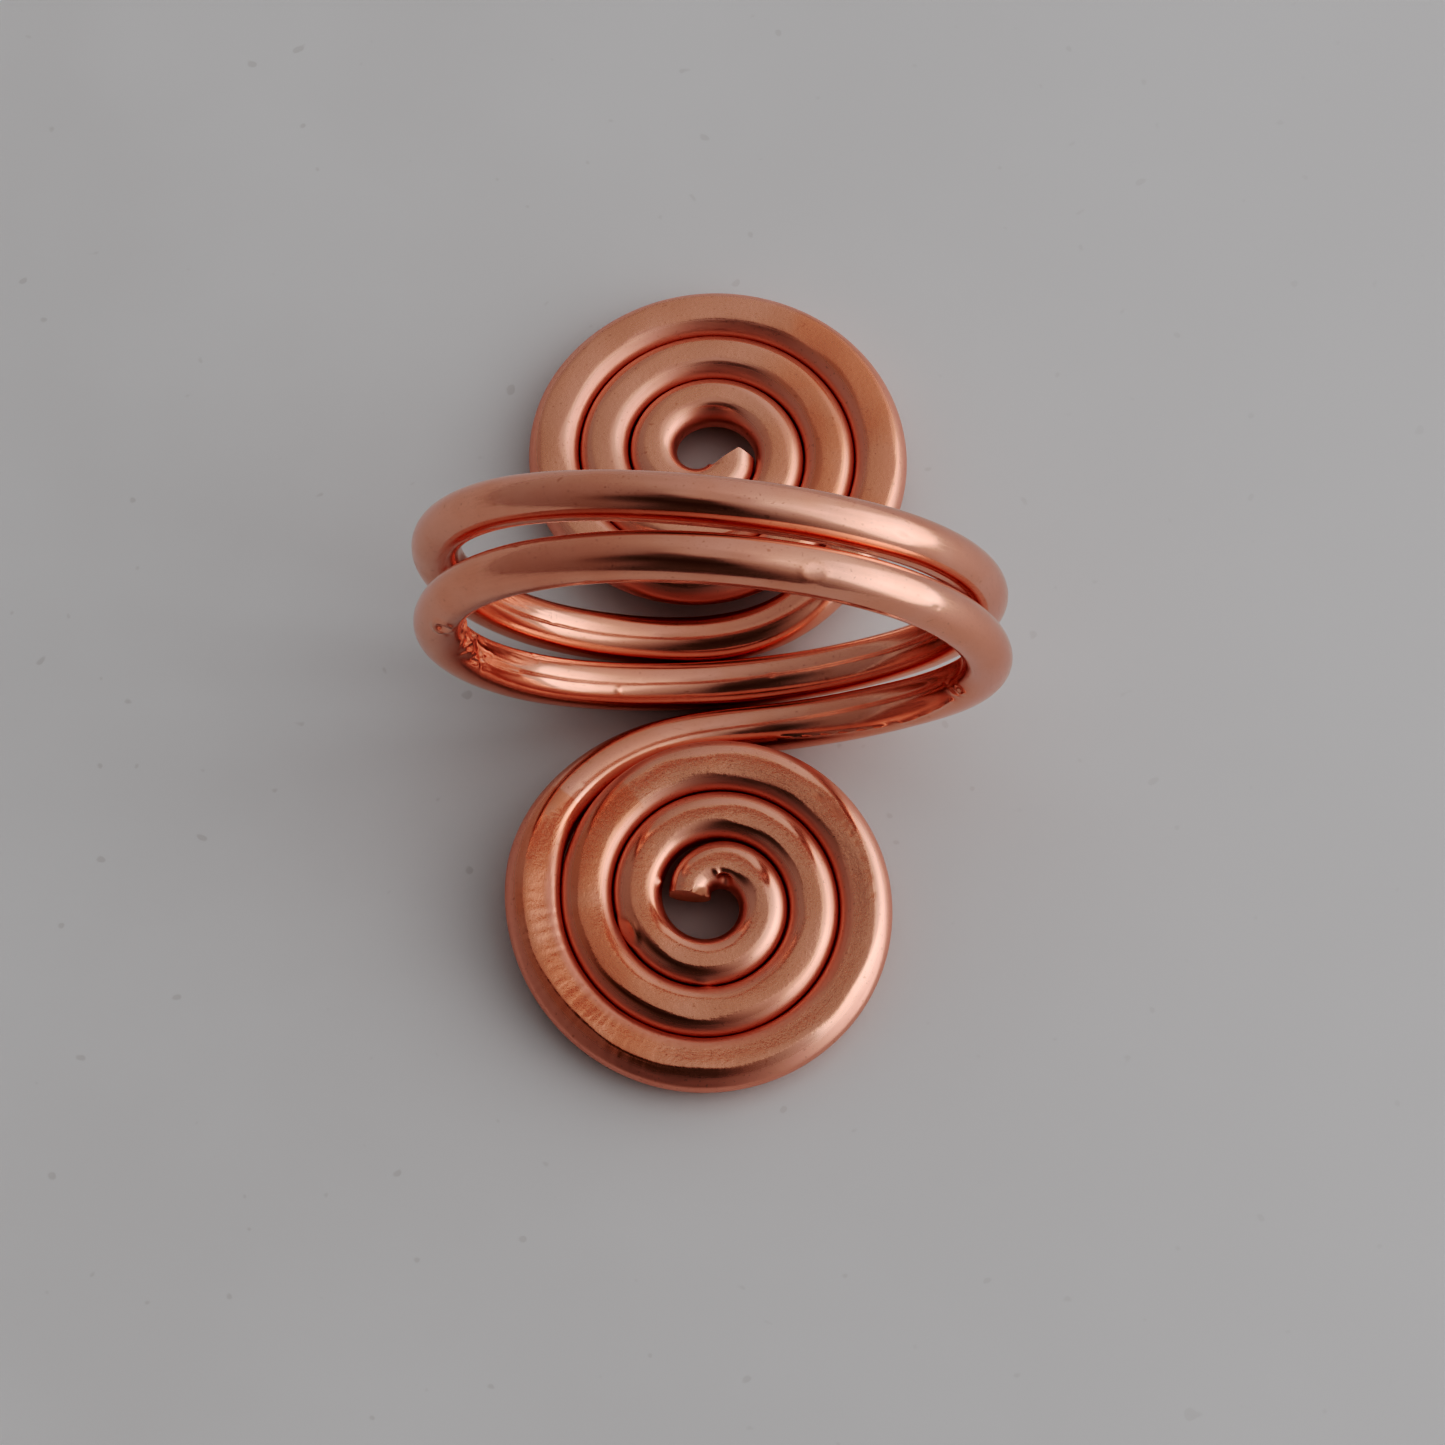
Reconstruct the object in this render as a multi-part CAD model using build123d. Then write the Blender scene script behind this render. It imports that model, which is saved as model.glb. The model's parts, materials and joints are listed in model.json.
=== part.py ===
from build123d import *
from math import cos, radians, sin, sqrt
import os

# A finger ring bent by hand from one length of round copper wire.  The wire
# starts at the middle of the near coil, winds outwards, goes round the finger
# twice, and winds inwards again to the middle of the far coil.
#
# Millimetres.  The ring lies on a table on its two coils, with its two finger
# loops standing up between them.  +X runs across the finger, +Y runs along it
# from the near coil to the far coil, and +Z is up.  The origin is the middle
# of the finger opening.

# driving dimensions
WIRE_D = 1.8  # wire diameter
LOOP_R = 9.85  # centre line radius of the two finger loops
COIL_START_R = 1.0  # centre line radius at the inner end of a coil
FLAT_AT_START = 0.06  # depth of a flat's edges below the round wire on a coil's first turn
FLAT_AT_RIM = 0.15  # the same on its last turn, which took more of the hammer's blows
FLAT_CROWN = 0.04  # height of the slight dome that is left on a flat
SPREAD_AT_RIM = 0.06  # how far the hammering pushed out each side of the last turn
FADE_LENGTH = 4.0  # the flats fade out over this length of the wire
SHEAR_LEAN = 0.35  # how far the cutters leaned over as they cut the wire off

WIRE_R = WIRE_D / 2
COIL_STATION = 30  # degrees of winding between the points of a coil
LOOP_STATION = 45  # degrees between the points of a loop

# The loops wander along the finger as they go round, because they were bent by
# hand.  This is Y at each station, from just after the near coil to just before
# the far coil.
LOOP_FIRST_ANGLE = -45
LOOP_WANDER = (
    -1.15, -2.3, -2.7, -2.25, -1.25, -0.35, 0.4,
    1.0,
    0.9, 0.1, -0.5, -0.1, 1.35, 2.55, 2.75,
)  # fmt: skip
FAR_LOOP_SHIFT = -0.05  # the far loop stands a little to the left

# the points that lead from each coil to its loop, under the finger
NEAR_LEAD = ((-3.0, -1.85, -9.5), (2.5, -0.85, -9.65))
FAR_LEAD = ((-2.5, 2.8, -9.6), (3.0, 3.5, -9.25))


class Coil:
    """One flat coil, with its turns counted outwards from the inner wire end."""

    def __init__(self, centre, rise, side_rise, start, pitch, growth, turns):
        self.plane = Plane(
            origin=centre,
            x_dir=(1, 0, side_rise),
            z_dir=(-side_rise, -rise, 1),
        )
        self.start = start
        self.pitch = pitch
        self.growth = growth
        self.turns = turns

    def flat_point(self, turn):
        """A point of the spiral in the coil's own plane."""
        angle = radians(self.start - 360 * turn)
        r = COIL_START_R + self.pitch * turn + self.growth * turn**2
        return Vector(r * cos(angle), r * sin(angle), 0)

    def stations(self):
        """The centre line's points in the ring's frame, inner end first."""
        count = round(self.turns * 360 / COIL_STATION)
        flat_points = [self.flat_point(i * COIL_STATION / 360) for i in range(count + 1)]
        return [self.plane.from_local_coords(p) for p in flat_points]

    def shear(self):
        """The block that cuts the inner wire end off at a slant."""
        end = self.flat_point(0)
        along = (self.flat_point(0.01) - end).normalized()
        inwards = -end.normalized()
        slant = Plane(
            origin=end + (along + inwards) * WIRE_R / 2,
            x_dir=along + inwards,
            z_dir=inwards - along + Vector(0, 0, SHEAR_LEAN),
        )
        depth = WIRE_R * 0.9
        return self.plane * slant * Pos(0, 0, depth / 2) * Box(WIRE_D, 2 * WIRE_D, depth)


def loop_stations():
    """The centre line's points round the finger, in the ring's frame."""
    points = []
    for i, wander in enumerate(LOOP_WANDER):
        angle = LOOP_FIRST_ANGLE + i * LOOP_STATION
        shift = FAR_LOOP_SHIFT if angle > 270 else 0
        x = shift + LOOP_R * cos(radians(angle))
        z = LOOP_R * sin(radians(angle))
        points.append(Vector(x, wander, z))
    return points


def section(stretch, at, coil, flat_depth, spread):
    """The wire's section at one end of a stretch: two flats and two round sides.

    The flats face along the coil's axis.  With no depth and no spread it is a
    full circle.
    """
    along = stretch % at
    place = Plane(
        origin=stretch @ at,
        x_dir=coil.plane.z_dir.cross(along),
        z_dir=along,
    )
    edge_y = WIRE_R - (flat_depth or FLAT_AT_RIM)
    edge_x = sqrt(WIRE_R**2 - edge_y**2)
    top = edge_y + FLAT_CROWN if flat_depth else WIRE_R
    side = WIRE_R + spread
    outline = (
        ThreePointArc((edge_x, edge_y), (0, top), (-edge_x, edge_y))
        + ThreePointArc((-edge_x, edge_y), (-side, 0), (-edge_x, -edge_y))
        + ThreePointArc((-edge_x, -edge_y), (0, -top), (edge_x, -edge_y))
        + ThreePointArc((edge_x, -edge_y), (side, 0), (edge_x, edge_y))
    )
    return place * make_face(outline)


# how the section changes along a coil: a flat's depth, and the sides' spread
ROUND = (0, 0)
START = (FLAT_AT_START, 0)
RIM = (FLAT_AT_RIM, SPREAD_AT_RIM)


def sweep_between(stretch, coil, before, after):
    """A stretch of wire whose section changes evenly along it."""
    ends = [section(stretch, 0, coil, *before), section(stretch, 1, coil, *after)]
    return sweep(ends, path=stretch, multisection=True)


def make_wire(near, far):
    near_stations = near.stations()
    far_stations = far.stations()[::-1]
    middle = [Vector(p) for p in NEAR_LEAD] + loop_stations() + [Vector(p) for p in FAR_LEAD]
    centre_line = Spline(*near_stations, *middle, *far_stations)

    # where the coils end and where their flats have faded out, as fractions
    near_rim = centre_line.param_at_point(near_stations[-1])
    far_rim = centre_line.param_at_point(far_stations[0])
    fade = FADE_LENGTH / centre_line.length
    near_round = near_rim + fade
    far_round = far_rim - fade

    band = centre_line.trim(near_round, far_round)
    wire = sweep(section(band, 0, near, *ROUND), path=band)
    wire += sweep_between(centre_line.trim(0, near_rim), near, START, RIM)
    wire += sweep_between(centre_line.trim(near_rim, near_round), near, RIM, ROUND)
    wire += sweep_between(centre_line.trim(far_round, far_rim), far, ROUND, RIM)
    wire += sweep_between(centre_line.trim(far_rim, 1), far, RIM, START)
    return wire - near.shear() - far.shear()


near_coil = Coil(
    centre=(-0.2, -8.0, -9.05),
    rise=0.12,
    side_rise=-0.02,
    start=166,
    pitch=1.8,
    growth=0.045,
    turns=3.0,
)
far_coil = Coil(
    centre=(-0.05, 10.1, -9.25),
    rise=-0.1,
    side_rise=0.035,
    start=-3,
    pitch=1.87,
    growth=0.02,
    turns=3 + 1 / 12,
)

os.makedirs("parts", exist_ok=True)
export_step(make_wire(near_coil, far_coil), "parts/copper_wire.step")
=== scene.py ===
import json
import math

import bpy
import numpy as np
from mathutils import Matrix, Vector


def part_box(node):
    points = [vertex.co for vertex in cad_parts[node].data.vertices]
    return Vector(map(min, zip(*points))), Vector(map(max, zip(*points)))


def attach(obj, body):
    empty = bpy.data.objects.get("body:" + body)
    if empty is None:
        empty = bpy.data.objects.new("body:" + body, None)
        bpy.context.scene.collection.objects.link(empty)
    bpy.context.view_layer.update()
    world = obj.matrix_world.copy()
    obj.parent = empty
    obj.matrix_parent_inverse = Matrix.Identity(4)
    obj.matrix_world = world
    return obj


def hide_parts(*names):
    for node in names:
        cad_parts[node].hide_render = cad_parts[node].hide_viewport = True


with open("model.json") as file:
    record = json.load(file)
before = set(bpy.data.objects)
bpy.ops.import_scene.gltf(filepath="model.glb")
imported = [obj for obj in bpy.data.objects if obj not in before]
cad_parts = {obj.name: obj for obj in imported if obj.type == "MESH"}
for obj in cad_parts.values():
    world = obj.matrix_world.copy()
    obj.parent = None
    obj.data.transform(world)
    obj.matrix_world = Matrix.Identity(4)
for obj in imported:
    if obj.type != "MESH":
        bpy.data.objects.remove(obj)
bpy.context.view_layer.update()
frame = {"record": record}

# A finger ring bent by hand from one length of round copper wire.  The wire starts
# at the middle of the near coil, winds outwards, goes round the finger twice, and
# winds inwards again to the middle of the far coil.

# ---------------------------------------------------------------- driving sizes
# The finger opening's radius and the top of the loops give the wire, and the wire
# gives the millimetre that every other length here is stated in.
OPENING_R = frame["record"]["mounts"][0]["dims"]["r_mm"] / 1000
BOX_LOW, BOX_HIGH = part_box("copper_wire")
WIRE_D = BOX_HIGH.z - OPENING_R
WIRE_R = WIRE_D / 2
WIRE_MM = 1.8  # the wire's diameter in millimetres
MM = WIRE_D / WIRE_MM
LOOP_R = OPENING_R + WIRE_R
TABLE_Z = BOX_LOW.z

# The centre line's points are this many degrees apart.  The loops wander along the
# finger as they go round, because they were bent by hand, and LOOP_WANDER is Y in
# millimetres at each of their points.
COIL_STATION = 30
LOOP_STATION = 45
LOOP_FIRST_ANGLE = -45
LOOP_WANDER = (
    -1.15, -2.3, -2.7, -2.25, -1.25, -0.35, 0.4,
    1.0,
    0.9, 0.1, -0.5, -0.1, 1.35, 2.55, 2.75,
)  # fmt: skip
FAR_LOOP_SHIFT = -0.05 * MM
COIL_START_R = 1.0 * MM

# the points that lead from each coil to its loop, in millimetres
NEAR_LEAD = ((-3.0, -1.85, -9.5), (2.5, -0.85, -9.65))
FAR_LEAD = ((-2.5, 2.8, -9.6), (3.0, 3.5, -9.25))

# On the coils the wire was hammered, which left a domed flat on top and below and
# pushed the sides out.  A flat's depth is how far its crest lies below the round
# wire, and a flat that is gone is clear of it.
FLAT_AT_START = 0.035 * MM
FLAT_AT_RIM = 0.10 * MM
FLAT_GONE = -0.08 * MM
FLAT_VARIES = 0.014 * MM
DOME_R = 4.0 * MM
SPREAD_AT_RIM = 0.06 * MM
FADE_LENGTH = 4.0 * MM
SHOULDER = 0.012 * MM  # how softly a flat turns into the round side
NEAR_LEAN = math.radians(12)  # the near coil's flats face this much inwards at its rim
LEAN_VARIES = math.radians(3)

# the near coil's outer edge was hammered too, along the front
EDGE_FROM = 50 * MM
EDGE_TO = 71 * MM
EDGE_FADE = 5 * MM
EDGE_ANGLE = math.radians(-38)
EDGE_DEPTH = 0.08 * MM
EDGE_GONE = -0.056 * MM

# neighbouring turns are pressed together, which makes their sides a little squarer
PRESSED = 0.035 * MM
TOUCH = 0.004 * MM  # what is still left between their sides
HALF_TURN = 4.0 * MM  # rings nearer than this along the wire are not in different turns
FIRST_TURN = 10.5 * MM  # this much wire has no neighbour inside it
LAST_TURN = 35.0 * MM  # and this much has none outside it
EVENED_OVER = 9  # how many rings share a change of the bulge

# how finely the wire is meshed
RING_STEP = 0.1 * MM
AROUND = 96
CAP_RINGS = 8
BEVEL_REACH = 2.6 * MM
BEVEL_STEPS = 80
SHARP_FROM = math.radians(40)

RNG = np.random.default_rng(7)


def unit(v):
    return v / np.linalg.norm(v, axis=-1, keepdims=True)


def smooth_step(x):
    x = np.clip(x, 0, 1)
    return x * x * (3 - 2 * x)


def fade_in(x, start, length):
    """0 up to the start, 1 from this length past it, and smooth between them."""
    return smooth_step((x - start) / length)


def fade_out(x, end, length):
    """1 up to this length before the end, 0 from the end, and smooth between them."""
    return smooth_step((end - x) / length)


# ------------------------------------------------------------- the centre line
class Coil:
    """One flat coil, with its turns counted outwards from the inner wire end.

    Each bevel is one facet that the side cutters left on the wire end: how far its
    upper edge starts from the wire's middle, towards the coil's centre, and the
    angles by which it is turned that way and tipped up.
    """

    def __init__(self, centre, rise, side_rise, start, pitch, growth, turns, bevels):
        self.centre = np.array(centre) * MM
        self.normal = unit(np.array([-side_rise, -rise, 1.0]))
        self.x_axis = unit(np.array([1.0, 0.0, side_rise]))
        self.y_axis = np.cross(self.normal, self.x_axis)
        self.start = start
        self.pitch = pitch * MM
        self.growth = growth * MM
        self.turns = turns
        self.bevels = bevels

    def point(self, turn):
        angle = math.radians(self.start - 360 * turn)
        r = COIL_START_R + self.pitch * turn + self.growth * turn**2
        flat = self.x_axis * math.cos(angle) + self.y_axis * math.sin(angle)
        return self.centre + r * flat

    def stations(self):
        count = round(self.turns * 360 / COIL_STATION)
        return [self.point(i * COIL_STATION / 360) for i in range(count + 1)]


NEAR = Coil(
    centre=(-0.2, -8.0, -9.05),
    rise=0.12,
    side_rise=-0.02,
    start=166,
    pitch=1.8,
    growth=0.045,
    turns=3.0,
    bevels=((0.0, 4, 6), (0.1, 66, 46)),
)
FAR = Coil(
    centre=(-0.05, 10.1, -9.25),
    rise=-0.1,
    side_rise=0.035,
    start=-3,
    pitch=1.87,
    growth=0.02,
    turns=3 + 1 / 12,
    bevels=((-0.35, 30, 6), (-0.35, -36, 8)),
)


def loop_stations():
    points = []
    for i, wander in enumerate(LOOP_WANDER):
        angle = LOOP_FIRST_ANGLE + i * LOOP_STATION
        shift = FAR_LOOP_SHIFT if angle > 270 else 0
        x = shift + LOOP_R * math.cos(math.radians(angle))
        z = LOOP_R * math.sin(math.radians(angle))
        points.append((x, wander * MM, z))
    return points


def spline_through(points, step):
    """Even samples of the smooth curve through the points: places, tangents and lengths."""
    gaps = np.linalg.norm(np.diff(points, axis=0), axis=1)
    knots = np.concatenate([[0], np.cumsum(gaps)])
    count = len(points)
    system = np.eye(count)
    right = np.zeros((count, 3))
    for i in range(1, count - 1):
        before, after = gaps[i - 1], gaps[i]
        system[i, i - 1 : i + 2] = before, 2 * (before + after), after
        slope_change = (points[i + 1] - points[i]) / after - (points[i] - points[i - 1]) / before
        right[i] = 6 * slope_change
    bend = np.linalg.solve(system, right)

    at = np.linspace(0, knots[-1], round(knots[-1] / step) + 1)
    span = np.clip(np.searchsorted(knots, at, side="right") - 1, 0, count - 2)
    h = gaps[span][:, None]
    a = (knots[span + 1] - at)[:, None]
    b = (at - knots[span])[:, None]
    p0, p1, m0, m1 = points[span], points[span + 1], bend[span], bend[span + 1]
    place = (
        (m0 * a**3 + m1 * b**3) / (6 * h)
        + (p0 / h - m0 * h / 6) * a
        + (p1 / h - m1 * h / 6) * b
    )
    tangent = (-m0 * a**2 + m1 * b**2) / (2 * h) - (p0 - p1) / h - (m1 - m0) * h / 6
    return place, unit(tangent), at, knots


def wire_path():
    """The centre line's samples, and how far along it the two coils' rims are."""
    near = NEAR.stations()
    far = FAR.stations()[::-1]
    middle = (
        [np.array(p) * MM for p in NEAR_LEAD]
        + loop_stations()
        + [np.array(p) * MM for p in FAR_LEAD]
    )
    points = np.array([*near, *middle, *far], float)
    place, tangent, at, knots = spline_through(points, RING_STEP)
    return place, tangent, at, knots[len(near) - 1], knots[-len(far)]


def carry_up_axis(tangent, at, near_rim, far_rim):
    """An up direction for each ring: the coils' own axes, turning evenly from one to the other."""
    up = np.zeros_like(tangent)
    up[0] = NEAR.normal
    for i in range(1, len(tangent)):
        carried = up[i - 1] - tangent[i] * (up[i - 1] @ tangent[i])
        up[i] = carried / np.linalg.norm(carried)
    side = np.cross(tangent, up)
    twist = math.atan2(FAR.normal @ side[-1], FAR.normal @ up[-1])
    turned = twist * smooth_step((at - near_rim) / (far_rim - near_rim))[:, None]
    return up * np.cos(turned) + side * np.sin(turned)


# ------------------------------------------------------------ the wire's surface
def soft_min(first, second):
    """The smaller of two radii, with the shoulder between them rounded off."""
    gap = np.clip((second - first) / SHOULDER, -40, 40)
    return first - SHOULDER * np.log1p(np.exp(-gap))


def waves(along, around, length, count=6):
    """Smooth random variation between about -1 and 1, that closes round the wire."""
    total = np.zeros(np.broadcast(along, around).shape)
    for _ in range(count):
        turns = RNG.integers(-2, 3)
        pitch = length * RNG.uniform(0.6, 1.7)
        total += np.cos(2 * np.pi * along / pitch + turns * around + RNG.uniform(0, 2 * np.pi))
    return total / math.sqrt(count)


class Wire:
    """The wire's surface as a grid: one row for each ring and one column for each angle.

    An angle of 0 is the side that faces up on the coils.  A positive angle leans
    to the coil's middle on the near coil, and away from it on the far coil.
    Lengths along the wire start at the near end.
    """

    def __init__(self):
        place, tangent, at, near_rim, far_rim = wire_path()
        up = carry_up_axis(tangent, at, near_rim, far_rim)
        self.at = at
        self.centre_line = np.concatenate([place, tangent, up], axis=1)
        # where the section changes: each coil's inner end, its rim, and where its
        # flats are gone
        self.stops = [
            0, near_rim, near_rim + FADE_LENGTH, far_rim - FADE_LENGTH, far_rim, at[-1],
        ]  # fmt: skip
        angles = np.arange(AROUND) * 2 * np.pi / AROUND
        self.along, self.around = np.meshgrid(at, angles, indexing="ij")
        # how the hammer's blows vary on the upper and on the lower flat
        self.blows = [waves(at, 0.0, 3.5 * MM) * FLAT_VARIES for _ in range(2)]
        self.leans = [waves(at, 0.0, 5.0 * MM) * LEAN_VARIES for _ in range(2)]
        self.filled = self.fill_grooves(near_rim, far_rim)
        # how far unevenness and marks raise the surface, and where marks scuffed it
        self.raised = waves(self.along, self.around, 5.0 * MM, 12) * 0.004 * MM
        self.scuffed = np.zeros_like(self.along)

    def fill_grooves(self, near_rim, far_rim):
        """How far each ring's side must bulge to touch the next turn inwards."""
        place = self.centre_line[:, 0:3]
        apart = np.linalg.norm(place[:, None] - place[None, :], axis=-1)
        steps = self.at[:, None] - self.at[None, :]
        on_near = (self.at < near_rim + FADE_LENGTH)[:, None] & (steps > HALF_TURN)
        on_far = (self.at > far_rim - FADE_LENGTH)[:, None] & (steps < -HALF_TURN)
        far_off = 1.0
        gap = np.where(on_near | on_far, apart, far_off).min(axis=1) - WIRE_D
        from_end = np.minimum(self.at, self.at[-1] - self.at)
        past_rim = np.minimum(self.at - near_rim, far_rim - self.at)
        has_neighbour = fade_in(from_end, FIRST_TURN, 3 * MM)
        has_neighbour *= 1 - fade_in(past_rim, -0.16 * FADE_LENGTH, 0.8 * FADE_LENGTH)
        bulge = np.where(gap < WIRE_R / 2, gap - SPREAD_AT_RIM / 2 - TOUCH, 0) * has_neighbour
        evened = np.convolve(bulge, np.full(EVENED_OVER, 1 / EVENED_OVER), mode="same")
        return np.maximum(evened, 0)

    def look_up(self, along):
        """Places, tangents and up axes of the centre line at any lengths along it."""
        rows = [np.interp(along, self.at, column) for column in self.centre_line.T]
        return np.stack(rows[0:3], -1), np.stack(rows[3:6], -1), np.stack(rows[6:9], -1)

    def to_rim(self, along):
        """How much of a coil's wire lies between here and its rim."""
        return np.maximum(self.stops[1] - along, along - self.stops[4])

    def flat_depth(self, along, around):
        depths = [FLAT_AT_START, FLAT_AT_RIM, FLAT_GONE, FLAT_GONE, FLAT_AT_RIM, FLAT_AT_START]
        depth = np.interp(along, self.stops, depths)
        top = np.interp(along, self.at, self.blows[0])
        bottom = np.interp(along, self.at, self.blows[1])
        return depth + np.where(np.cos(around) > 0, top, bottom)

    def lean(self, along, around):
        """How far the flats face round from straight up, or straight down."""
        # the near coil's upper flat leans a little from its inner end on, and most
        # of its lean comes on the last turn
        inner_end = fade_in(along, 2.0 * MM, 0.5 * MM)
        last_turn = fade_in(along, 34 * MM, 24 * MM)
        on_near = np.interp(along, self.stops, [1, 1, 0, 0, 0, 0])
        turned = NEAR_LEAN * on_near * (0.2 * inner_end + 0.8 * last_turn)
        top = turned + np.interp(along, self.at, self.leans[0])
        bottom = np.interp(along, self.at, self.leans[1])
        return np.where(np.cos(around) > 0, top, bottom) * np.cos(around) ** 2

    def round_radius(self, along, around):
        """The round wire, with its sides pushed out and pressed against their neighbours."""
        spread = np.interp(along, self.stops, [0, SPREAD_AT_RIM, 0, 0, SPREAD_AT_RIM, 0])
        filled = np.interp(along, self.at, self.filled)
        inner_side = np.where(along < self.at[-1] / 2, np.sin(around), -np.sin(around)) > 0
        reach = np.where(inner_side, filled, spread)
        inside_turn = fade_in(self.to_rim(along), LAST_TURN, MM)
        pressed = np.where(inner_side, np.clip(filled / (0.05 * MM), 0, 1), inside_turn)
        across = np.abs(np.sin(around))
        bulge = PRESSED * pressed * fade_in(across, 0.6, 0.3)
        # the side is squarer, but no further out than an upright wall
        upright_side = (WIRE_R + reach) / np.maximum(across, 0.3) - WIRE_R
        return WIRE_R + np.minimum(reach * across**2 + bulge, upright_side)

    def dome_radius(self, along, around):
        """The distance out to the hammered domes, which drop x * x / (2 * DOME_R) from a crest."""
        turned = around - self.lean(along, around)
        crest = WIRE_R - self.flat_depth(along, around)
        upright = np.cos(turned) ** 2
        curve = 2 * crest * np.sin(turned) ** 2 / DOME_R
        return 2 * crest / (np.sqrt(upright) + np.sqrt(upright + curve))

    def edge_radius(self, along, around):
        """The distance out to the hammered facet on the near coil's outer edge."""
        struck = fade_in(along, EDGE_FROM, EDGE_FADE) * fade_out(along, EDGE_TO, EDGE_FADE)
        depth = EDGE_GONE + (EDGE_DEPTH - EDGE_GONE) * struck
        return (WIRE_R - depth) / np.maximum(np.cos(around - EDGE_ANGLE), 0.3)

    def radius(self, along, around):
        """The round wire, cut back by the domes and by the facet."""
        hammered = soft_min(self.round_radius(along, around), self.dome_radius(along, around))
        return soft_min(hammered, self.edge_radius(along, around))

    def hammered(self):
        """1 on the hammered flats and 0 on the round wire."""
        cut_back = self.round_radius(self.along, self.around)
        cut_back = cut_back - self.dome_radius(self.along, self.around)
        return fade_in(cut_back, -0.015 * MM, 0.03 * MM)

    def browned(self):
        """1 where the copper has browned: the near coil's left and the far coil's right."""
        x, y, _ = np.moveaxis(self.look_up(self.along)[0], -1, 0)
        near = fade_out(x, -1.0 * MM, 3 * MM) * (y < -4 * MM)
        far = fade_in(x, 2.0 * MM, 2 * MM) * (y > 6 * MM)
        return near + far

    def grooves(self):
        """1 where a coil's turns lie side by side, and 0 on open wire."""
        # the darker colour this puts between the turns is painted shade; the rougher copper there is
        # the wire's own
        on_coil = np.interp(self.along, self.stops, [1, 1, 0, 0, 1, 1])
        return on_coil * fade_in(np.abs(np.sin(self.around)), 0.5, 0.3)

    def points(self, along, around, raised):
        place, tangent, up = self.look_up(along)
        side = np.cross(tangent, up)
        outwards = up * np.cos(around)[..., None] + side * np.sin(around)[..., None]
        r = self.radius(along, around) + raised
        return place + outwards * r[..., None]

    # Each mark is placed by millimetres along the wire and degrees round it, and
    # sized in millimetres.  A mark may be turned by some degrees on the surface.
    def from_spot(self, along, angle, turned=0):
        """Distances from a spot on the surface, along the wire and across it."""
        u = self.along / MM - along
        v = WIRE_R / MM * np.angle(np.exp(1j * (self.around - math.radians(angle))))
        c, s = math.cos(math.radians(turned)), math.sin(math.radians(turned))
        return u * c + v * s, v * c - u * s

    def dent(self, along, angle, length, width, depth, turned=0, scuff=0.0):
        """A hollow, or with a depth below 0 a bump."""
        u, v = self.from_spot(along, angle, turned)
        shape = np.exp(-((u / length) ** 2) - (v / width) ** 2)
        self.raised -= depth * MM * shape
        self.scuffed += scuff * shape

    def eye(self, along, angle, length, width, depth, turned=0):
        """A hollow pressed in by a tool's corner, with the metal pushed up round it."""
        u, v = self.from_spot(along, angle, turned)
        out = np.hypot(u / length, v / width)
        rim = np.exp(-(((out - 1) / 0.3) ** 2))
        self.raised += depth * MM * (0.7 * rim - np.exp(-((out / 0.6) ** 2)))
        self.scuffed += 0.4 * rim

    def line(self, first, last, angle, last_angle, width, height):
        """A raised seam, or with a height below 0 a scratch, that runs along the wire."""
        along = self.along / MM
        share = np.clip((along - first) / (last - first), 0, 1)
        middle = np.radians(angle + (last_angle - angle) * share)
        v = WIRE_R / MM * np.angle(np.exp(1j * (self.around - middle)))
        ends = fade_in(along, first, 0.4) * fade_out(along, last, 0.4)
        self.raised += height * MM * np.exp(-((v / width) ** 2)) * ends


def mark_coils(wire):
    """What the hammer and pliers left on the coils."""
    # a burr that was folded over, and nicks in the inner turns
    wire.eye(10.5, -54, 0.42, 0.34, 0.07)
    wire.dent(7.8, -60, 0.25, 0.16, -0.06)
    wire.dent(28.0, 74, 0.3, 0.15, -0.05)
    wire.dent(34.1, -48, 0.07, 0.2, 0.03)
    # the cutters' ripples across the near wire end
    for at in np.arange(0.3, 2.0, 0.22):
        wire.dent(at, RNG.uniform(-12, 12), 0.06, 0.5, 0.012)
    # the near wire end is pinched, with a step where the pliers gripped it
    wire.dent(0.0, -90, 1.5, 0.8, 0.26)
    wire.dent(2.2, 52, 0.42, 0.26, 0.20, turned=15, scuff=0.6)
    wire.dent(1.75, 34, 0.12, 0.2, -0.06, turned=-30)
    wire.dent(12.2, 60, 0.16, 0.14, -0.10)
    # a ragged edge to the flat where the hammer slipped
    for _ in range(46):
        at = RNG.uniform(46.5, 51.0)
        wire.dent(at, -2 - 3 * (at - 46.5) + RNG.normal(0, 3), 0.09, 0.07, 0.012, scuff=0.5)
    # pits on the last turns
    for at, angle in ((52.5, -10), (54.6, -14), (59.4, -6), (64.2, 8), (75.0, 12), (213.8, -30)):
        wire.dent(at, angle, 0.08, 0.08, 0.02)
    # the last turn's flat is rippled from many light blows
    rippled = fade_in(wire.along / MM, 58, 6) * fade_out(wire.along / MM, 72, 2)
    ripples = waves(wire.along, wire.around, 0.42 * MM, 10)
    on_top = fade_in(np.cos(wire.around), 0.3, 0.4)
    wire.raised += 0.006 * MM * ripples * rippled * on_top


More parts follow.
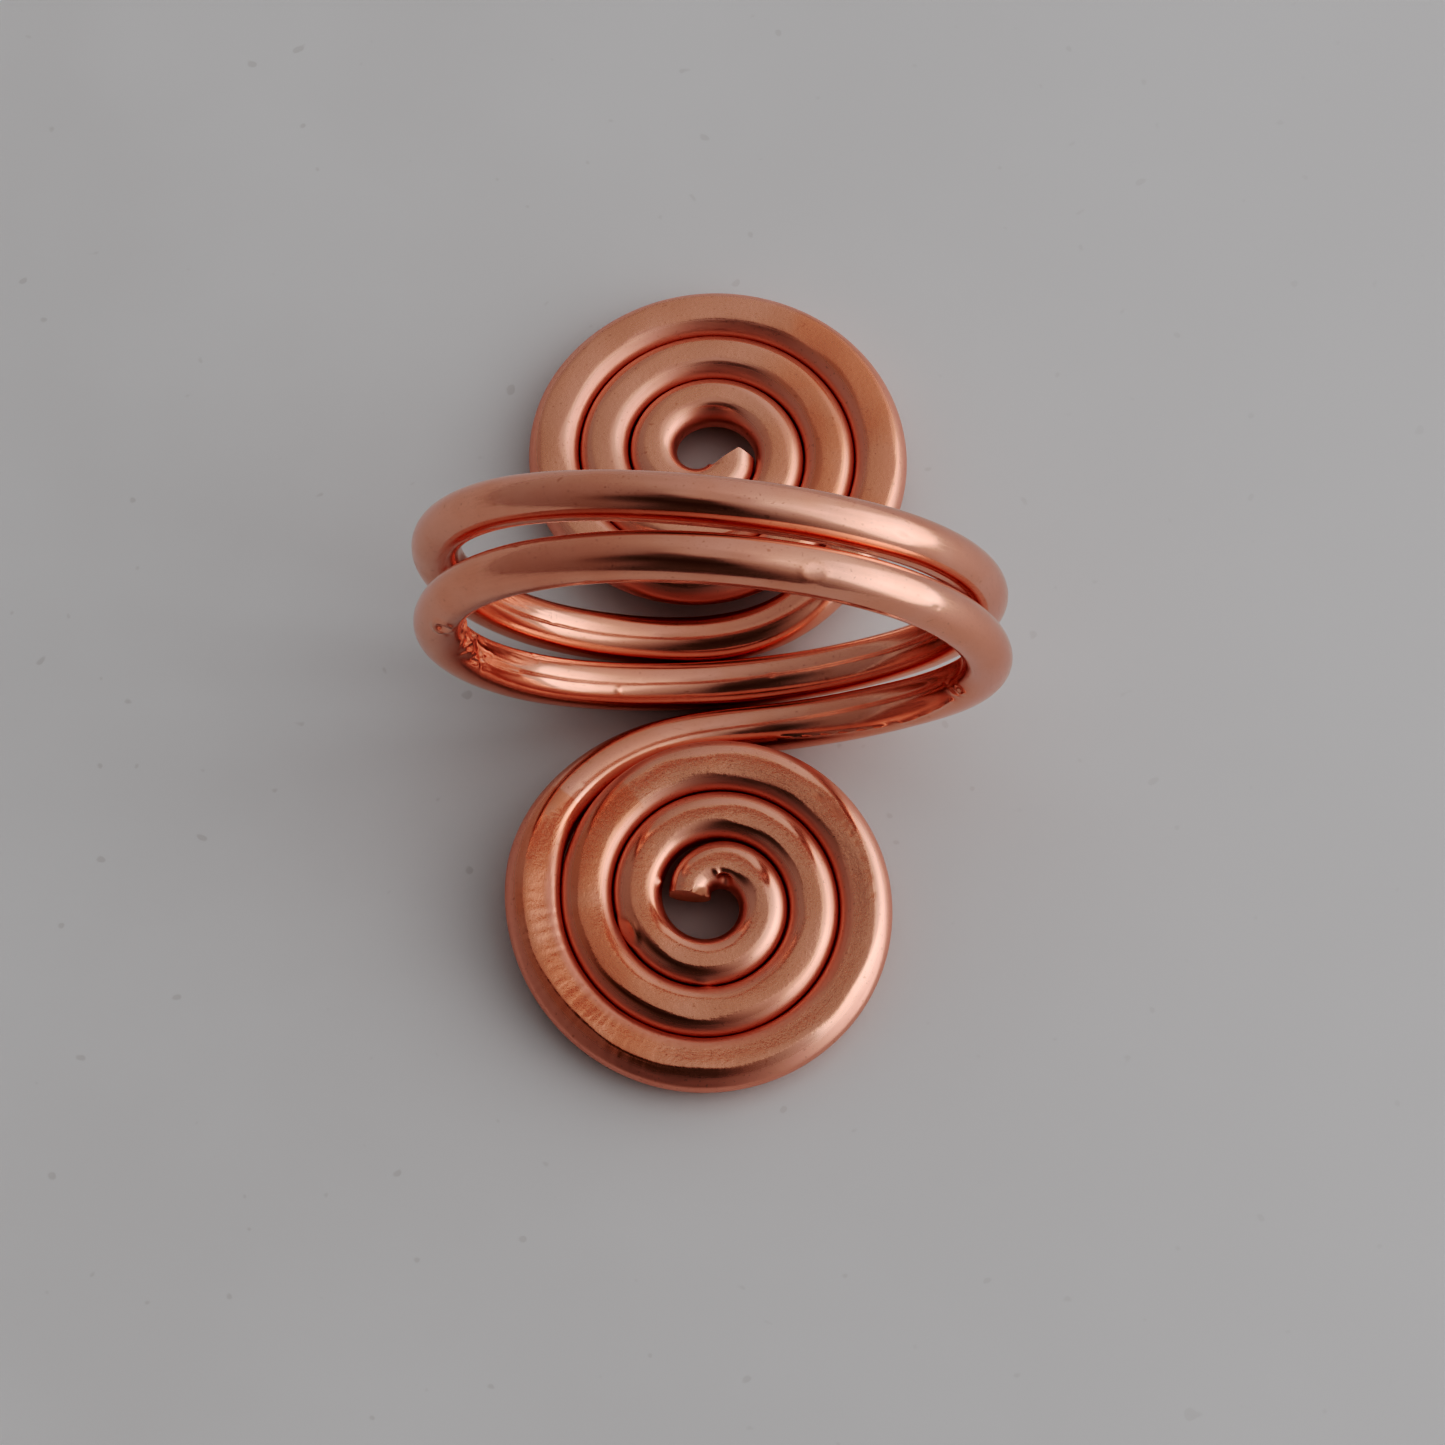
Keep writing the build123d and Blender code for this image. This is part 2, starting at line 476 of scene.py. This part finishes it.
def mark_loops(wire):
    """What the pliers left on the loops and the leads."""
    # the pliers' corners bit in at the left and the right of the near loop
    wire.eye(123.9, 102, 0.55, 0.30, 0.10, turned=-25)
    wire.dent(124.6, 84, 0.5, 0.07, 0.05, turned=-25)
    wire.eye(94.0, 52, 0.26, 0.20, 0.08, turned=30)
    wire.dent(93.2, 40, 0.5, 0.16, -0.05, turned=50)
    # metal torn up inside the near loop, next to the left bite
    for _ in range(30):
        at, angle = RNG.uniform(126.4, 130.6), RNG.uniform(-30, 45)
        depth = RNG.uniform(0.03, 0.08) * RNG.choice((-1, 1), p=(0.6, 0.4))
        length = RNG.uniform(0.25, 0.7)
        wire.dent(at, angle, length, 0.09, depth, turned=RNG.uniform(-40, 40), scuff=0.3)
    wire.line(129.0, 133.0, 40, 26, 0.07, 0.03)
    # long scratches where the jaws slid along the wire
    for _ in range(9):
        first = RNG.uniform(129.5, 134.0)
        angle = RNG.uniform(-45, -12)
        length = RNG.uniform(1.2, 3.6)
        wire.line(first, first + length, angle, angle + RNG.uniform(-9, 12), 0.04, -0.009)
    wire.line(192.5, 195.6, -8, -3, 0.05, -0.014)
    wire.line(193.5, 196.4, -16, -10, 0.04, -0.008)
    wire.dent(133.9, -38, 0.06, 0.25, 0.04)
    wire.dent(195.4, -2, 0.05, 0.16, 0.03)
    # a seam of flattened metal under the near lead, with a gap in it
    wire.line(83.2, 88.3, 52, 76, 0.07, 0.05)
    wire.line(88.6, 93.0, 78, 62, 0.07, 0.06)
    # small knocks on the tops, and pits all over
    wire.dent(165.3, 166, 0.26, 0.08, 0.035, turned=15, scuff=0.3)
    wire.eye(108.0, 170, 0.40, 0.34, 0.012)
    wire.dent(137.7, 31, 0.06, 0.12, -0.03)
    for _ in range(60):
        at, angle = RNG.uniform(78, 206), RNG.uniform(0, 360)
        wire.dent(at, angle, RNG.uniform(0.05, 0.16), 0.06, RNG.uniform(0.006, 0.02))


# --------------------------------------------------------------- the wire's mesh
class WireEnd:
    """One wire end, with the facets that the side cutters left on it."""

    def __init__(self, wire, coil, last):
        self.at = wire.at[-1] if last else 0.0
        self.into = -1 if last else 1
        self.centre, tangent, up = wire.look_up(np.array(self.at))
        self.out = -self.into * tangent
        across = np.cross(up, self.out)
        inwards = across * np.sign(across @ (coil.centre - self.centre))
        self.facets = []
        for start, turned, tipped in coil.bevels:
            t, p = math.radians(turned), math.radians(tipped)
            level = self.out * math.cos(t) + inwards * math.sin(t)
            facing = level * math.cos(p) + up * math.sin(p)
            self.facets.append((self.centre + inwards * start * MM + up * WIRE_R, facing))

    def cut_depths(self, wire):
        """How far in each angle's line along the wire first passes under every facet."""
        steps = np.linspace(0, BEVEL_REACH, BEVEL_STEPS + 1)[:, None] + np.zeros(AROUND)
        around = np.broadcast_to(wire.around[0], steps.shape)
        surface = wire.points(self.at + self.into * steps, around, 0 * steps)
        beyond = np.max([(surface - edge) @ facing for edge, facing in self.facets], axis=0)
        inside = np.argmax(beyond <= 0, axis=0)
        before = np.maximum(inside - 1, 0)
        column = np.arange(AROUND)
        drop = beyond[before, column] - beyond[inside, column] + 1e-12
        share = beyond[before, column] / drop
        depths = np.where(inside > 0, steps[before, 0] + share * BEVEL_REACH / BEVEL_STEPS, 0)
        depths[beyond.min(axis=0) > 0] = depths.max()
        return depths

    def bevel(self, wire):
        """Slides the rings near the end along the wire, so that the last one is on the facets."""
        distance = (wire.along - self.at) * self.into
        kept = np.clip(distance / BEVEL_REACH, 0, 1)
        slid = self.cut_depths(wire) * (1 - kept) + distance
        wire.along = np.where(distance < BEVEL_REACH, self.at + self.into * slid, wire.along)

    def onto_facets(self, points):
        drops = [((edge - points) @ facing) / (self.out @ facing) for edge, facing in self.facets]
        return points + np.minimum(np.min(drops, axis=0), 0)[:, None] * self.out

    def cap(self, edge):
        """Rings of points that close the end, drawn in towards its middle, and the middle last."""
        flat = edge - ((edge - self.centre) @ self.out)[:, None] * self.out
        rings = []
        for share in np.linspace(1, 0, CAP_RINGS + 1)[1:-1]:
            rings.append(self.onto_facets(self.centre + (flat - self.centre) * share))
        return rings + [self.onto_facets(self.centre[None])]


def ring_faces(rings):
    """Quads between neighbouring rings, and a fan of triangles at each one-point ring."""
    faces = []
    start = 0
    for before, after in zip(rings, rings[1:]):
        follow = start + len(before)
        for j in range(AROUND):
            k = (j + 1) % AROUND
            if len(before) == 1:
                faces.append((start, follow + k, follow + j))
            elif len(after) == 1:
                faces.append((start + j, start + k, follow))
            else:
                faces.append((start + j, start + k, follow + k, follow + j))
        start = follow
    return faces


def store_surface(mesh, wire, cap_points):
    """Stores what the material needs to know about each point.

    The points of the two end caps come before and after the wire's own.
    """

    def store(name, kind, field, values, on_cap):
        cap = np.full((cap_points, *values.shape[1:]), on_cap, float)
        attribute = mesh.attributes.new(name, kind, "POINT")
        with_caps = np.concatenate([cap, values, cap])
        attribute.data.foreach_set(field, np.ascontiguousarray(with_caps, np.float32).ravel())

    across = WIRE_R * np.cos(wire.around), WIRE_R * np.sin(wire.around)
    drawn = np.stack([wire.along, *across], -1).reshape(-1, 3)
    store("drawn", "FLOAT_VECTOR", "vector", drawn, 0)
    for name, values, on_cap in (
        ("hammered", wire.hammered(), 0),
        ("grooves", wire.grooves(), 0),
        ("browned", wire.browned(), 0),
        ("scuffed", np.clip(wire.scuffed, 0, 1), 1),
        ("cut", np.zeros_like(wire.along), 1),
    ):
        store(name, "FLOAT", "value", values.ravel(), on_cap)


def wire_object():
    wire = Wire()
    near_end = WireEnd(wire, NEAR, last=False)
    far_end = WireEnd(wire, FAR, last=True)
    near_end.bevel(wire)
    far_end.bevel(wire)
    mark_coils(wire)
    mark_loops(wire)
    grid = wire.points(wire.along, wire.around, wire.raised)
    near_cap = near_end.cap(grid[0])[::-1]
    rings = near_cap + list(grid) + far_end.cap(grid[-1])

    mesh = bpy.data.meshes.new("ring_wire")
    mesh.from_pydata(np.concatenate(rings).tolist(), [], ring_faces(rings))
    mesh.update()
    store_surface(mesh, wire, cap_points=sum(len(ring) for ring in near_cap))
    obj = bpy.data.objects.new("ring_wire", mesh)
    bpy.context.scene.collection.objects.link(obj)
    mesh.shade_smooth()
    mesh.set_sharp_from_angle(angle=SHARP_FROM)
    return obj


# -------------------------------------------------------------------- materials
# bright copper, redder in patches and duller in larger ones
COPPER = (0.95, 0.56, 0.46, 1)
COPPER_PATCH = (0.92, 0.515, 0.41, 1)
COPPER_CLOUD = (0.87, 0.46, 0.36, 1)
COPPER_HAMMERED = (0.93, 0.53, 0.40, 1)
COPPER_BROWNED = (0.88, 0.43, 0.31, 1)
# painted shade: the sides where the coil's turns lie together are darker and redder
COPPER_GROOVE_SHADE = (0.93, 0.52, 0.43, 1)
# fresh-cut copper on the wire ends, lightened further as painted light on their shaded faces
COPPER_CUT_AND_PAINTED_LIGHT = (1.0, 0.64, 0.50, 1)
COPPER_SCUFFED = (0.80, 0.40, 0.29, 1)
# what the wire sees of itself is duller than what the camera sees of it
COPPER_IN_COPPER = (0.90, 0.64, 0.57, 1)
SPECK = (0.60, 0.30, 0.22, 1)
TINY_SPECK = (0.58, 0.33, 0.27, 1)

TABLE = (0.84, 0.825, 0.827, 1)
TABLE_STAIN = (0.87, 0.858, 0.862, 1)
# painted light: the table gets paler towards the window on the right
TABLE_WINDOW_LIGHT_PAINTED = (0.95, 0.937, 0.945, 1)
DUST = (0.50, 0.46, 0.44, 1)


class Nodes:
    """Adds shader nodes to one tree; an input is a value or another node's output."""

    def __init__(self, tree):
        self.tree = tree
        tree.nodes.clear()

    def set_input(self, socket, value):
        if isinstance(value, bpy.types.NodeSocket):
            self.tree.links.new(value, socket)
        else:
            socket.default_value = value

    def add(self, kind, inputs=None, **settings):
        node = self.tree.nodes.new(kind)
        for name, value in settings.items():
            setattr(node, name, value)
        for name, value in (inputs or {}).items():
            self.set_input(node.inputs[name], value)
        return node

    def mix(self, share, first, second):
        """Blends two colours, which are the node's inputs 6 and 7 and its output 2."""
        node = self.add("ShaderNodeMix", data_type="RGBA")
        for index, value in ((0, share), (6, first), (7, second)):
            self.set_input(node.inputs[index], value)
        return node.outputs[2]

    def span(self, value, low, high, to_low=0.0, to_high=1.0):
        """Maps a value from one range to another with soft ends."""
        inputs = {"Value": value, "From Min": low, "From Max": high}
        inputs |= {"To Min": to_low, "To Max": to_high}
        node = self.add("ShaderNodeMapRange", inputs, interpolation_type="SMOOTHSTEP")
        return node.outputs["Result"]

    def maths(self, operation, first, second):
        return self.add("ShaderNodeMath", {0: first, 1: second}, operation=operation).outputs[0]

    def plus(self, first, second):
        return self.maths("ADD", first, second)

    def times(self, first, second):
        return self.maths("MULTIPLY", first, second)

    def stretch(self, vector, scale):
        return self.add("ShaderNodeVectorMath", {0: vector, 1: scale}, operation="MULTIPLY").outputs[0]

    def noise(self, vector, size, detail=3.0):
        """Cloudy variation whose patches are about this size in metres."""
        inputs = {"Vector": vector, "Scale": 1 / size, "Detail": detail}
        return self.add("ShaderNodeTexNoise", inputs).outputs["Fac"]

    def value_of(self, name):
        return self.add("ShaderNodeAttribute", attribute_name=name).outputs["Fac"]

    def bump(self, height, depth, normal=None):
        inputs = {"Height": height, "Distance": depth, "Strength": 1.0}
        if normal:
            inputs["Normal"] = normal
        return self.add("ShaderNodeBump", inputs).outputs["Normal"]


def new_material(name):
    material = bpy.data.materials.new(name)
    material.use_nodes = True
    return material, Nodes(material.node_tree)


def copper_colour(n, place, blotches, marks):
    clouds = n.noise(place, 7.0 * MM, 2.0)
    specks = n.span(n.noise(place, 0.3 * MM, 2.0), 0.69, 0.76, 0, 0.4)
    tiny_specks = n.span(n.noise(place, 0.11 * MM, 2.0), 0.64, 0.74, 0, 0.5)
    browned = n.times(marks["browned"], n.span(blotches, 0.3, 0.6, 0.5, 1.0))
    colour = n.mix(n.span(blotches, 0.35, 0.68), COPPER, COPPER_PATCH)
    colour = n.mix(n.span(clouds, 0.5, 0.75, 0, 0.6), colour, COPPER_CLOUD)
    colour = n.mix(n.times(marks["hammered"], 0.5), colour, COPPER_HAMMERED)
    colour = n.mix(browned, colour, COPPER_BROWNED)
    # painted shade in the grooves between the coil's turns
    colour = n.mix(marks["grooves"], colour, COPPER_GROOVE_SHADE)
    colour = n.mix(specks, colour, SPECK)
    colour = n.mix(tiny_specks, colour, TINY_SPECK)
    # the wire ends: fresh-cut copper, plus painted light that brightens their shaded faces
    colour = n.mix(n.times(marks["cut"], 0.8), colour, COPPER_CUT_AND_PAINTED_LIGHT)
    colour = n.mix(n.times(marks["scuffed"], 0.5), colour, COPPER_SCUFFED)
    seen_directly = n.add("ShaderNodeLightPath").outputs["Is Camera Ray"]
    return n.mix(seen_directly, COPPER_IN_COPPER, colour)


def copper_roughness(n, blotches, streaks, grain, marks):
    rough = n.span(blotches, 0.3, 0.7, 0.14, 0.20)
    rough = n.plus(rough, n.span(streaks, 0.35, 0.75, -0.03, 0.06))
    rough = n.plus(rough, n.times(marks["hammered"], n.span(grain, 0.3, 0.7, 0.05, 0.12)))
    for mark, rougher in (("scuffed", 0.12), ("grooves", 0.24), ("cut", 0.35)):
        rough = n.plus(rough, n.times(marks[mark], rougher))
    return rough


def copper_normal(n, place, streaks, grain, marks):
    """Drawing lines along the wire, and a fine grain and pores where it was worked."""
    pores = n.noise(place, 0.18 * MM, 3.0)
    normal = n.bump(streaks, 0.0012 * MM)
    normal = n.bump(n.times(grain, n.plus(marks["hammered"], 0.25)), 0.0035 * MM, normal)
    worked = n.plus(marks["hammered"], marks["scuffed"])
    return n.bump(n.times(pores, worked), 0.012 * MM, normal)


def copper_material():
    material, n = new_material("copper")
    place = n.add("ShaderNodeTexCoord").outputs["Object"]
    drawn = n.add("ShaderNodeAttribute", attribute_name="drawn").outputs["Vector"]
    streaks = n.noise(n.stretch(drawn, (0.06, 1, 1)), 0.07 * MM, 4.0)
    grain = n.noise(place, 0.07 * MM, 2.0)
    blotches = n.noise(place, 2.6 * MM, 4.0)
    marks = {name: n.value_of(name) for name in ("hammered", "grooves", "browned", "scuffed", "cut")}
    inputs = {
        "Base Color": copper_colour(n, place, blotches, marks),
        # the torn metal of a cut scatters light every way
        "Metallic": n.span(marks["cut"], 0, 1, 1.0, 0.3),
        "Roughness": copper_roughness(n, blotches, streaks, grain, marks),
        "Normal": copper_normal(n, place, streaks, grain, marks),
    }
    surface = n.add("ShaderNodeBsdfPrincipled", inputs)
    n.add("ShaderNodeOutputMaterial", {"Surface": surface.outputs[0]})
    return material


def table_material():
    material, n = new_material("table")
    place = n.add("ShaderNodeTexCoord").outputs["Object"]
    stain = n.noise(place, 14 * MM, 3.0)
    colour = n.mix(n.span(stain, 0.3, 0.7), TABLE, TABLE_STAIN)
    dust = n.span(n.noise(place, 0.9 * MM, 1.0), 0.73, 0.78, 0, 0.25)
    colour = n.mix(dust, colour, DUST)
    across = n.add("ShaderNodeSeparateXYZ", {0: place}).outputs["X"]
    # painted light from the window: paler towards the right
    colour = n.mix(n.span(across, -25 * MM, 45 * MM, 0, 0.8), colour, TABLE_WINDOW_LIGHT_PAINTED)
    rough = n.span(stain, 0.3, 0.7, 0.42, 0.5)
    surface = n.add("ShaderNodeBsdfPrincipled", {"Base Color": colour, "Roughness": rough})
    n.add("ShaderNodeOutputMaterial", {"Surface": surface.outputs[0]})
    return material


# ------------------------------------------------------------ table, light, view
def table_top():
    half = 250 * MM
    corners = [(-half, -half), (half, -half), (half, half), (-half, half)]
    mesh = bpy.data.meshes.new("table_top")
    mesh.from_pydata([(x, y, TABLE_Z) for x, y in corners], [], [(0, 1, 2, 3)])
    table = bpy.data.objects.new("table_top", mesh)
    bpy.context.scene.collection.objects.link(table)
    mesh.materials.append(table_material())


# The room's brightness by compass direction, in degrees from +X towards +Y, at three
# heights in degrees above the table.  A wide window is on the right, and somebody
# leans over the table from the front and the left.
ROOM = {
    20: (
        (-180, 0.28), (-150, 0.25), (-126, 0.21), (-116, 0.11), (-84, 0.11), (-74, 0.20),
        (-62, 0.30), (-46, 0.50), (-40, 1.10), (-10, 1.40), (14, 1.20), (34, 1.00),
        (42, 0.62), (75, 0.46), (100, 0.36), (140, 0.31), (180, 0.28),
    ),
    48: (
        (-180, 0.29), (-162, 0.25), (-150, 0.12), (-135, 0.08), (-88, 0.08), (-78, 0.22),
        (-65, 0.34), (-46, 0.48), (-38, 0.72), (-10, 0.88), (30, 0.64), (60, 0.50),
        (90, 0.42), (140, 0.32), (180, 0.29),
    ),
    66: (
        (-180, 0.27), (-162, 0.22), (-150, 0.12), (-98, 0.10), (-84, 0.25), (-70, 0.34),
        (-45, 0.50), (-10, 0.72), (30, 0.58), (60, 0.50), (100, 0.41), (150, 0.31), (180, 0.27),
    ),
}  # fmt: skip
CEILING = 0.40


def ring_of_light(n, azimuth, stops):
    """Brightness by compass direction, as a colour ramp."""
    ramp = n.add("ShaderNodeValToRGB", {"Fac": azimuth})
    elements = ramp.color_ramp.elements
    while len(elements) < len(stops):
        elements.new(0.5)
    for element, (degrees, brightness) in zip(elements, stops):
        element.position = (degrees + 180) / 360
        element.color = (brightness, brightness, brightness, 1)
    return ramp.outputs["Color"]


def room():
    world = bpy.data.worlds.new("room")
    bpy.context.scene.world = world
    world.use_nodes = True
    n = Nodes(world.node_tree)
    ray = n.add("ShaderNodeTexCoord").outputs["Generated"]
    axes = n.add("ShaderNodeSeparateXYZ", {0: ray})
    turn = n.maths("ARCTAN2", axes.outputs["Y"], axes.outputs["X"])
    full_circle = {"Value": turn, "From Min": -math.pi, "From Max": math.pi}
    azimuth = n.add("ShaderNodeMapRange", full_circle).outputs["Result"]
    height = axes.outputs["Z"]
    elevations = list(ROOM)
    seen = ring_of_light(n, azimuth, ROOM[elevations[0]])
    for below, above in zip(elevations, elevations[1:]):
        start, end = math.sin(math.radians(below)), math.sin(math.radians(above))
        seen = n.mix(n.span(height, start, end), seen, ring_of_light(n, azimuth, ROOM[above]))
    ceiling = (CEILING, CEILING, CEILING, 1)
    seen = n.mix(n.span(height, math.sin(math.radians(elevations[-1])), 0.99), seen, ceiling)
    glow = n.add("ShaderNodeBackground", {"Color": seen, "Strength": 1.0})
    n.add("ShaderNodeOutputWorld", {"Surface": glow.outputs[0]})


def camera():
    elevation = math.radians(68.49)
    azimuth = math.radians(-1.13)
    roll = math.radians(-0.43)
    distance = 201.6 * MM
    aim = Vector((0.275, -4.424, 0.0)) * MM
    back = Vector((
        math.sin(azimuth) * math.cos(elevation),
        -math.cos(azimuth) * math.cos(elevation),
        math.sin(elevation),
    ))
    data = bpy.data.cameras.new("camera")
    data.lens = 140.23
    data.sensor_width = 36
    data.clip_start = 0.01
    data.clip_end = 10
    cam = bpy.data.objects.new("camera", data)
    bpy.context.scene.collection.objects.link(cam)
    right = (-back).cross(Vector((0, 0, 1))).normalized()
    up = right.cross(-back)
    turned_right = right * math.cos(roll) + up * math.sin(roll)
    turned_up = up * math.cos(roll) - right * math.sin(roll)
    axes = Matrix((turned_right, turned_up, back)).transposed().to_4x4()
    cam.matrix_world = Matrix.Translation(aim + back * distance) @ axes
    bpy.context.scene.camera = cam


# a photograph's darks are deeper than the light that made them, and its lights softer
RESPONSE = (
    (0.0, 0.0), (0.06, 0.006), (0.115, 0.035), (0.21, 0.15), (0.38, 0.38), (0.70, 0.69), (1.0, 0.92),
)  # fmt: skip


def camera_response():
    view = bpy.context.scene.view_settings
    view.view_transform = "Standard"
    view.use_curve_mapping = True
    mapping = view.curve_mapping
    all_channels = mapping.curves[3].points
    while len(all_channels) < len(RESPONSE):
        all_channels.new(0.5, 0.5)
    for point, (seen, shown) in zip(all_channels, RESPONSE):
        point.location = (seen, shown)
    mapping.update()


def light_paths():
    """Light bounces many times between bare copper turns before it is lost."""
    cycles = bpy.context.scene.cycles
    cycles.max_bounces = 16
    cycles.glossy_bounces = 16
    cycles.diffuse_bounces = 8


ring = wire_object()
ring.data.materials.append(copper_material())
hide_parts("copper_wire")
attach(ring, "root")

table_top()
room()
camera()
camera_response()
light_paths()
